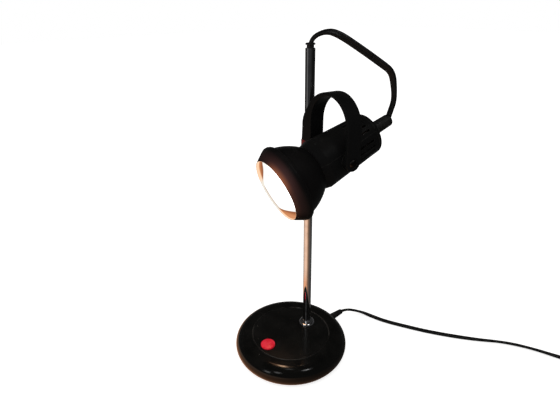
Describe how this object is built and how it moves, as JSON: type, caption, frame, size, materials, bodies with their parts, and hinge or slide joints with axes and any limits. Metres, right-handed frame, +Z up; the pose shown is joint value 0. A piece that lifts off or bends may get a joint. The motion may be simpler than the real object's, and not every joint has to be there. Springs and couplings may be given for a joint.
{
  "type": "tabletop searchlight lamp",
  "caption": "Table lamp with a round weighted base, push button, chrome pole and a reflector head that tilts in a yoke sliding on the pole.",
  "frame": {"origin": "centre of the base's underside, on the table", "axes": "+Z up along the pole; the pole stands towards +Y of the base's centre, the push button towards -Y, and the head faces roughly -Y"},
  "size_m": [0.41, 0.3399, 0.382],
  "materials": {
    "base_lacquer": "glossy black, slightly worn",
    "black_plastic": "satin black moulded",
    "shade_black": "satin black, warm near the lit opening",
    "red_plastic": "bright red moulded",
    "chrome": "polished, lightly pitted",
    "zinc_steel": "zinc plated",
    "black_steel": "blackened",
    "cast_weight": "rough cast",
    "felt": "black felt",
    "black_rubber": "matt soft plastic",
    "bulb_frost": "frosted reflector bulb, lit",
    "bulb_brass": "rolled",
    "ceramic": "unglazed",
    "flex_black": "flat twin flex, satin",
    "plug_black": "moulded",
    "plug_metal": "nickel plated"
  },
  "bodies": {
    "root": {"base_pad": "felt", "base_plate": "zinc_steel", "base_screws": "zinc_steel", "base_shell": "base_lacquer", "base_weight": "cast_weight", "mains_coil": "flex_black", "mains_cord": "flex_black", "mains_plug": "plug_black", "mains_relief": "black_rubber", "mains_tail": "flex_black", "plug_pins": "plug_metal", "pole": "chrome", "pole_collar": "chrome", "pole_nut": "zinc_steel", "pole_washer": "zinc_steel", "switch_body": "black_plastic", "switch_guide": "black_plastic", "switch_spring": "zinc_steel"},
    "button": {"switch_button": "red_plastic"},
    "swivel": {"pole_grommet": "black_rubber"},
    "yoke": {"yoke": "black_plastic", "clamp_collar": "red_plastic", "pivot_bush_near": "black_plastic", "pivot_bush_far": "black_plastic", "head_lead": "flex_black"},
    "thumbscrew": {"clamp_thumbscrew": "black_plastic"},
    "head": {"housing_cover": "black_plastic", "housing_tray": "black_plastic", "neck_screws": "black_steel", "cap_screws": "black_steel", "rear_cap": "black_plastic", "rear_gland": "black_rubber", "shade_bell": "shade_black", "shade_ring": "shade_black", "bulb_glass": "bulb_frost", "bulb_cap": "bulb_brass", "lamp_holder": "ceramic", "holder_bracket": "zinc_steel", "bracket_screws": "zinc_steel", "pivot_screw_near": "black_steel", "pivot_screw_far": "black_steel"}
  },
  "joints": [
    {"name": "button_press", "type": "slide", "parent": "root", "child": "button", "axis": [0, 0, -1], "range_m": [0, 0.0025], "stiffness_N_per_m": 600, "springref_m": -0.0015, "deforming": ["switch_spring"]},
    {"name": "head_swivel", "type": "hinge", "parent": "root", "child": "swivel", "pos_m": [0, 0.0275, 0.3], "axis": [0, 0, 1], "range_deg": [-150, 150]},
    {"name": "height_slide", "type": "slide", "parent": "swivel", "child": "yoke", "axis": [0, 0, 1], "range_m": [-0.02, 0.045], "deforming": ["head_lead"]},
    {"name": "head_tilt", "type": "hinge", "parent": "yoke", "child": "head", "pos_m": [0.04248, 0.02085, 0.267], "axis": [0.988, -0.1547, 0], "range_deg": [-25, 40], "deforming": ["head_lead"]},
    {"name": "thumbscrew_turn", "type": "hinge", "parent": "yoke", "child": "thumbscrew", "pos_m": [0.00155, 0.03738, 0.26815], "axis": [0.1547, 0.988, 0], "range_deg": [0, 360]}
  ]
}
